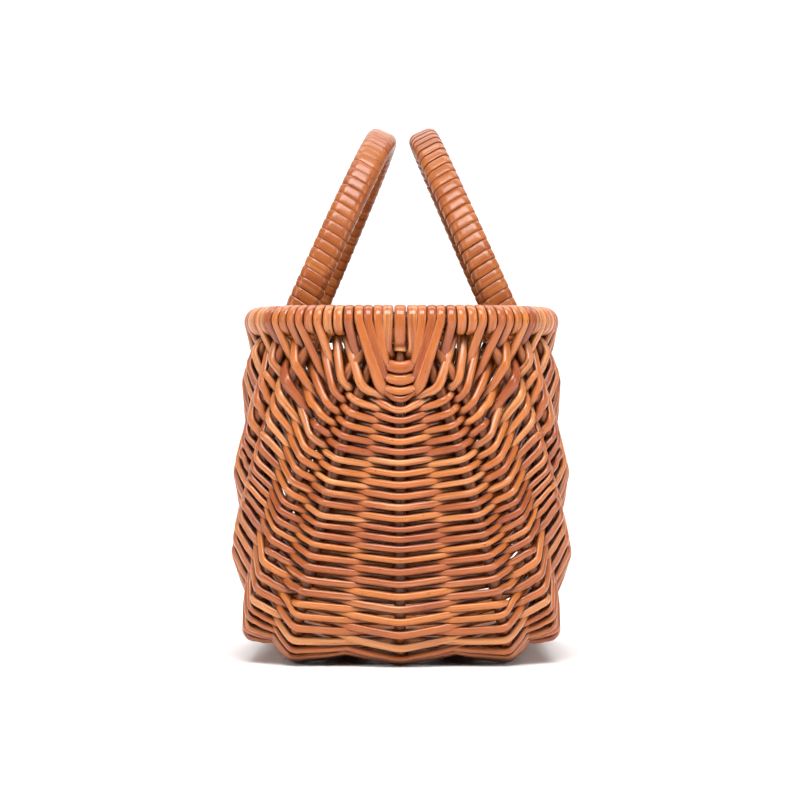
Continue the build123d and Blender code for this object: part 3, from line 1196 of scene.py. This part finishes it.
# %% Arch of a handle
arch_rise = (apex_z - rim_height) / cos(lean)
crown_drop = arch_rise - handle_crown
shoulder = handle_half_span ** 2 + crown_drop ** 2 - handle_crown ** 2
shoulder /= 2 * (handle_half_span - handle_crown)
shoulder_turn = atan2(crown_drop, shoulder - handle_half_span)
tie_bottom = -leg_below_rim + handle_depth / 2
wrap_foot = tie_bottom + tie_length + 1.0 * mm


def arch_line():
    """The arch in its own plane, from one leg's foot over the crown to the other's."""
    points = [(-handle_half_span, wrap_foot)]
    for turn in np.linspace(0, shoulder_turn, 60):
        points.append((shoulder - handle_half_span - shoulder * cos(turn), shoulder * sin(turn)))
    for turn in np.linspace(pi - shoulder_turn, pi / 2, 40)[1:]:
        points.append((handle_crown * cos(turn), crown_drop + handle_crown * sin(turn)))
    points = np.array(points)
    mirrored = points[-2::-1] * np.array([-1, 1])
    return np.concatenate([points, mirrored])


print("the wound part of the arch is", round(walked(arch_line())[-1] / mm), "mm long")

# %% [markdown]
# ## A skein wound round a line
# A skein is a willow split and shaved to a flat strip.  It is one long strip laid turn by turn
# round the two rods, each turn tilted a little over the last.  A texture of stripes would stay
# smooth at the edge of the handle, so the strip is swept along a real winding path: round a
# slot-shaped section while the section itself moves along the arch.

# %% Slot section
def round_slot(around, radius):
    """Places and facings on a slot section, across and in depth, after so many turns."""
    half_round, flat_run = pi * radius, 2 * section_flat
    stations = np.cumsum([0.0, flat_run, half_round, flat_run, half_round])
    spot = (around % 1.0) * stations[-1]
    turn = np.interp(spot, stations, [pi / 2, pi / 2, -pi / 2, -pi / 2, -3 * pi / 2])
    middle = np.interp(spot, stations, section_flat * np.array([-1, 1, 1, -1, -1]))
    out = np.stack([np.cos(turn), np.sin(turn)])
    return np.stack([middle, np.zeros(len(middle))]) + radius * out, out


corners = round_slot(np.array([0.0, 0.5]), handle_depth / 2)[0] / mm
print("the two flats of the section begin at", corners.round(1).T.tolist(), "mm")

# %% [markdown]
# ## Winding the handles
# The turns of a hand-wound skein are never quite evenly spaced, and each one shows another shade
# of the strip.  The two legs of a handle are tied to the basket with a narrower strip.

# %% Skeins of the handles
spacing_stray, tone_low, tone_high = 0.05, 0.25, 0.75
rings_a_turn, overlap_tilt = 30, 0.08


def wound_skein(bag, line, side, pitch, strip_half_width, strip_half_depth):
    """A flat strip round a slot section that follows a line in the handle's plane."""
    walk = walked(line)
    turns = walk[-1] / pitch
    around = np.arange(int(turns * rings_a_turn) + 1) / rings_a_turn
    drift = np.cumsum(chance.normal(0, spacing_stray, int(turns) + 3))
    drift = np.interp(around, np.arange(len(drift)), drift - np.linspace(0, drift[-1], len(drift)))
    along = np.clip((around + 0.5 * drift) * pitch, 0, walk[-1])
    tangent = at(along + mm, line, walk) - at(along - mm, line, walk)
    tangent /= np.linalg.norm(tangent, axis=1)[:, None]
    radius = handle_depth / 2 - strip_half_depth
    (across, depth), (out_across, out_depth) = round_slot(around, radius)
    basket_way, up = np.array([0.0, 1.0, 0.0]), np.array([-side * sin(lean), 0, cos(lean)])
    plane_out = np.array([side * cos(lean), 0, sin(lean)])
    depth_way = -tangent[:, 1:] * basket_way + tangent[:, :1] * up
    centre = np.array([side * leg_x, 0, rim_height]) + at(along, line, walk) @ [basket_way, up]
    path = centre + across[:, None] * plane_out + depth[:, None] * depth_way
    facing = out_across[:, None] * plane_out + out_depth[:, None] * depth_way
    turn_tones = chance.uniform(tone_low, tone_high, (int(turns) + 2, 3))
    tones = turn_tones[np.floor(around).astype(int)]
    bag.sweep(path, facing, strip_half_width, strip_half_depth, tone=tones, tilt=overlap_tilt)


for side, side_name in ((-1, "left"), (1, "right")):
    bag = Strands(sides=12, squareness=3.3)
    strip = {"strip_half_width": 3.2 * mm, "strip_half_depth": 0.85 * mm}
    wound_skein(bag, arch_line(), side, pitch=6.0 * mm, **strip)
    bag.make(f"handle_{side_name}_skein", skein_wood, "skein", [f"handle_{side_name}_wrap"])
    for end, end_name in ((-1, "front"), (1, "back")):
        bag = Strands(sides=8, squareness=3.0)
        heights = np.linspace(tie_bottom, tie_bottom + tie_length, 30)
        leg = np.stack([np.full(30, end * handle_half_span), heights], axis=1)
        strip = {"strip_half_width": 1.7 * mm, "strip_half_depth": 0.7 * mm}
        wound_skein(bag, leg, side, pitch=3.4 * mm, **strip)
        node = f"handle_{side_name}_tie_{end_name}"
        bag.make(node + "_skein", skein_wood, "skein", [node])

# %% [markdown]
# ## Rods that stay as they are
# The hoop and the handle rods are plain bent rods in the CAD model and on the real basket, so
# they are kept and only get their wood.

# %% Finish of the kept rods
for name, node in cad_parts.items():
    if not node.hide_render:
        node.data.materials.clear()
        node.data.materials.append(rod_wood)
        print("kept", name)

# %% [markdown]
# ## Floor
# The basket stands on a pale paper sweep, a floor that curves up into the wall behind, so that
# no edge shows.  A plane would end in a hard line.  It is staging, not a piece of the basket.

# %% Floor
floor_half_span, floor_front, floor_back = 3.0, -1.6, 0.9
sweep_radius, wall_top = 0.8, 3.0


def sweep_floor():
    """A strip that runs flat, curves up and ends as a wall."""
    outline = [(floor_front, 0.0), (floor_back, 0.0)]
    for turn in np.linspace(0, pi / 2, 16)[1:]:
        rise = sweep_radius - sweep_radius * cos(turn)
        outline.append((floor_back + sweep_radius * sin(turn), rise))
    outline.append((floor_back + sweep_radius, wall_top))
    points = [(x, y, z) for y, z in outline for x in (-floor_half_span, floor_half_span)]
    faces = [(2 * i, 2 * i + 1, 2 * i + 3, 2 * i + 2) for i in range(len(outline) - 1)]
    mesh = bpy.data.meshes.new("studio_sweep")
    mesh.from_pydata(points, [], faces)
    mesh.shade_smooth()
    paper = bpy.data.materials.new("pale_paper")
    paper.use_nodes = True
    shader = paper.node_tree.nodes["Principled BSDF"]
    shader.inputs["Base Color"].default_value = (0.93, 0.93, 0.93, 1)
    shader.inputs["Roughness"].default_value = 0.9
    mesh.materials.append(paper)
    floor = bpy.data.objects.new("studio_sweep", mesh)
    bpy.context.scene.collection.objects.link(floor)
    return floor


print("floor of", len(sweep_floor().data.polygons), "faces")

# %% [markdown]
# ## Lights
# One wide soft light stands above and in front, with weaker white fill from both sides, so that
# every strand has a highlight and the gaps stay dark.  A fourth light brightens the wall.  A
# single small lamp would throw hard shadows across the weave.

# %% Lights
def soft_light(name, place, target, size, power):
    """A rectangular white light at a place, turned towards its target."""
    lamp = bpy.data.lights.new(name, "AREA")
    lamp.shape, lamp.size, lamp.size_y = "RECTANGLE", size[0], size[1]
    lamp.energy = power
    holder = bpy.data.objects.new(name, lamp)
    holder.location = place
    way = Vector(target) - Vector(place)
    holder.rotation_euler = way.to_track_quat("-Z", "Y").to_euler()
    bpy.context.scene.collection.objects.link(holder)
    print(name, power, "watts")


basket_centre, wall_spot = (0, 0, 0.12), (0, 1.5, 0.3)
soft_light("top_box", (0.0, -0.9, 1.5), basket_centre, (1.2, 0.7), 33)
soft_light("left_box", (-1.4, -1.0, 0.7), basket_centre, (0.5, 1.0), 8)
soft_light("right_box", (1.4, -1.0, 0.7), basket_centre, (0.5, 1.0), 8)
soft_light("backdrop_light", (0.0, 0.7, 2.2), wall_spot, (3.0, 0.8), 40)
world = bpy.data.worlds.new("studio_white")
world.use_nodes = True
sky = world.node_tree.nodes["Background"]
sky.inputs["Color"].default_value = (1, 1, 1, 1)
sky.inputs["Strength"].default_value = 0.2
bpy.context.scene.world = world

# %% [markdown]
# ## Camera
# A long lens from two metres away keeps the basket's upright lines upright.  The camera looks
# level at one end of the basket, from a little below the rim, and stands very slightly to the
# right.  The plain Standard view shows the wood colours as they were chosen.

# %% Camera
camera_data = bpy.data.cameras.new("camera")
camera_data.lens, camera_data.sensor_width = 153.0, 36.0
camera = bpy.data.objects.new("camera", camera_data)
camera.location = (0.024, -2.005, 0.148)
camera.rotation_euler = (pi / 2, 0, atan(0.024 / 1.874))
bpy.context.scene.view_settings.view_transform = "Standard"
bpy.context.scene.collection.objects.link(camera)
bpy.context.scene.camera = camera
print("camera", round(camera.location.length, 2), "m from the middle of the floor")

# %% [markdown]
